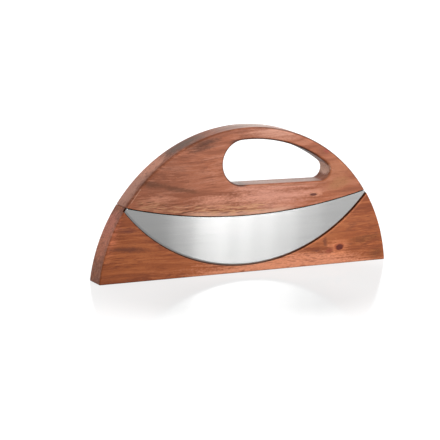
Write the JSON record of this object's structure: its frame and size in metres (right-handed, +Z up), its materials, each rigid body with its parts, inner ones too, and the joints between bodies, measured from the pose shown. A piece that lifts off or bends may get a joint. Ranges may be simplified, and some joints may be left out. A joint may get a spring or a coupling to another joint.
{
  "type": "mezzaluna",
  "caption": "Half-disc mezzaluna: a wooden handle with a grip hole carries a crescent steel blade, which lifts out of a recessed wooden rest.",
  "frame": {"origin": "centre of the base's underside, on the surface that the object stands on", "axes": "+Z up, -Y out of the front face that shows the blade, +X to the right along the blade as seen from the front"},
  "size_m": [0.2864, 0.02, 0.1297],
  "materials": {
    "handle_wood": "oiled reddish hardwood, satin, grain along the length",
    "base_wood": "oiled reddish hardwood, satin, grain along the length, with a knot",
    "blade_steel": "satin stainless steel with a ground cutting edge",
    "pin_steel": "turned stainless steel, sanded level with the wood",
    "magnet_nickel": "nickel-plated magnet discs"
  },
  "bodies": {
    "base": {"base": "base_wood", "magnet_left": "magnet_nickel", "magnet_right": "magnet_nickel"},
    "knife": {"handle": "handle_wood", "blade": "blade_steel", "tang_pin_left": "pin_steel", "tang_pin_centre": "pin_steel", "tang_pin_right": "pin_steel"}
  },
  "joints": [
    {"name": "knife_lift", "type": "slide", "parent": "base", "child": "knife", "axis": [0, 0, 1], "range_m": [0, 0.075]}
  ]
}
